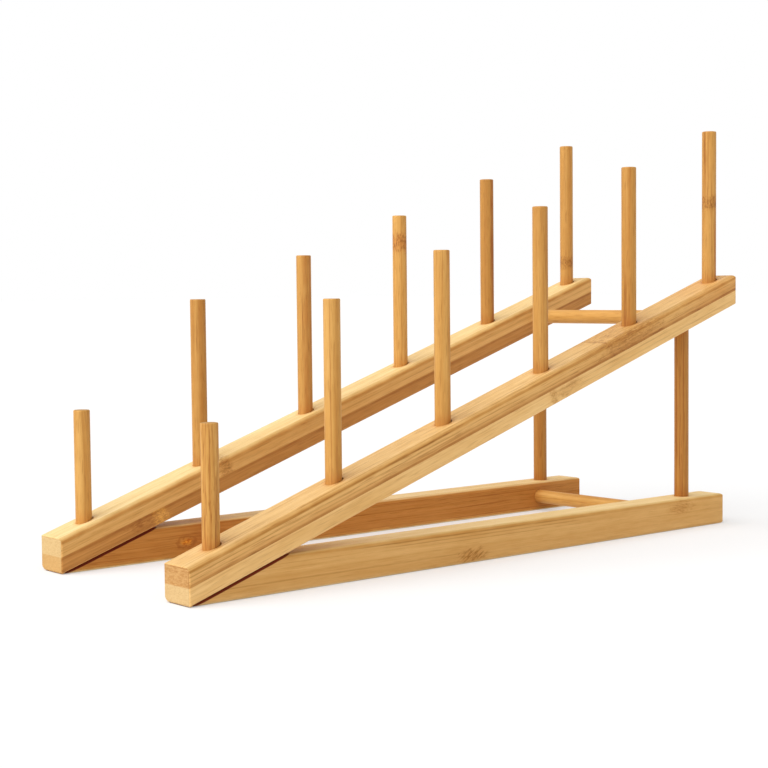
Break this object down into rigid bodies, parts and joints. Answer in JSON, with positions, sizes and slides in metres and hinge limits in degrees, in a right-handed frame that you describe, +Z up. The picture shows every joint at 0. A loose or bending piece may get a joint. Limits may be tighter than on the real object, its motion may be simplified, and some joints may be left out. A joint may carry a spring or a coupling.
{
  "type": "plate rack",
  "caption": "Free-standing sloping bamboo plate rack with laminated side frames, upright round pegs that form plate slots, rear posts and round crossbars.",
  "frame": {"origin": "on the ground under the middle of the sloped rails' plan length, midway between the side frames", "axes": "+X from the low front end to the high back end, +Y from the right frame to the left frame, +Z up"},
  "size_m": [0.37, 0.13, 0.221],
  "materials": {
    "bamboo_amber": "satin, caramel strips",
    "bamboo_pale": "satin, natural pale strips",
    "bamboo_base": "satin, golden tan",
    "bamboo_dowel": "satin, turned dowel",
    "glue": "dark dried adhesive"
  },
  "bodies": {
    "root": {"right_upper_ply": "bamboo_amber", "right_lower_ply": "bamboo_pale", "right_base_rail": "bamboo_base", "right_glue_line": "glue", "right_post": "bamboo_dowel", "right_peg_1": "bamboo_dowel", "right_peg_2": "bamboo_dowel", "right_peg_3": "bamboo_dowel", "right_peg_4": "bamboo_dowel", "right_peg_5": "bamboo_dowel", "right_peg_6": "bamboo_dowel", "left_upper_ply": "bamboo_pale", "left_lower_ply": "bamboo_amber", "left_base_rail": "bamboo_base", "left_glue_line": "glue", "left_post": "bamboo_dowel", "left_peg_1": "bamboo_dowel", "left_peg_2": "bamboo_dowel", "left_peg_3": "bamboo_dowel", "left_peg_4": "bamboo_dowel", "left_peg_5": "bamboo_dowel", "left_peg_6": "bamboo_dowel", "upper_crossbar": "bamboo_dowel", "lower_crossbar": "bamboo_dowel"}
  },
  "joints": []
}
